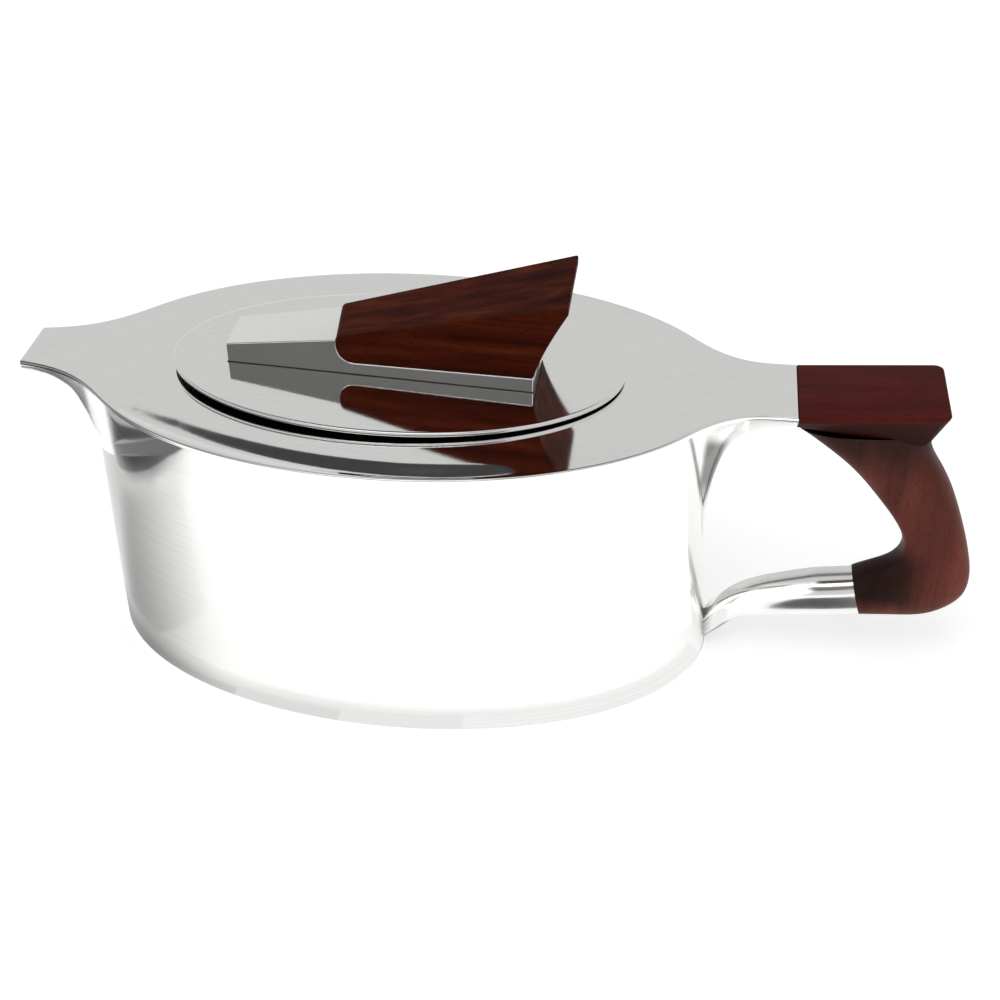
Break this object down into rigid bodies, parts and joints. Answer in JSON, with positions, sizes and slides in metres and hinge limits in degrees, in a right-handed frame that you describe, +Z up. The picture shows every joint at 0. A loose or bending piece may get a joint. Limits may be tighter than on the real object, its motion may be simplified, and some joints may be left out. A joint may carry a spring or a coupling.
{
  "type": "teapot",
  "caption": "Oval straight-sided silver teapot with a flat deck drawn out to a beak spout and a wooden loop handle, and a flat lift-off oval lid with a wedge-shaped wooden grip.",
  "frame": {"origin": "centre of the flat base, on the surface that the pot stands on", "axes": "+Z up, +X towards the handle, -X towards the spout"},
  "size_m": [0.2705, 0.1054, 0.1211],
  "materials": {
    "silver_body": "polished silver with fine horizontal brushing",
    "silver_deck": "satin-polished silver sheet",
    "silver_inner": "duller unpolished silver inside",
    "pin_silver": "filed flush silver pin",
    "screw_steel": "turned screw head",
    "handle_wood": "oiled red-brown hardwood with fine dark pores",
    "finial_wood": "oiled dark red-brown hardwood with streaked grain"
  },
  "bodies": {
    "pot": {"body_shell": "silver_body", "base_plate": "silver_body", "top_deck": "silver_deck", "lid_collar": "silver_deck", "spout_beak": "silver_body", "strainer_plate": "silver_inner", "upper_socket": "silver_body", "lower_strut": "silver_body", "handle_grip": "handle_wood", "upper_handle_pin": "pin_silver", "lower_handle_pin": "pin_silver"},
    "lid": {"lid_plate": "silver_deck", "lid_flange": "silver_inner", "finial_holder": "silver_deck", "finial_grip": "finial_wood", "finial_screws": "screw_steel"}
  },
  "joints": [
    {"name": "lid_lift", "type": "slide", "parent": "pot", "child": "lid", "axis": [0, 0, 1], "range_m": [0, 0.06]}
  ]
}
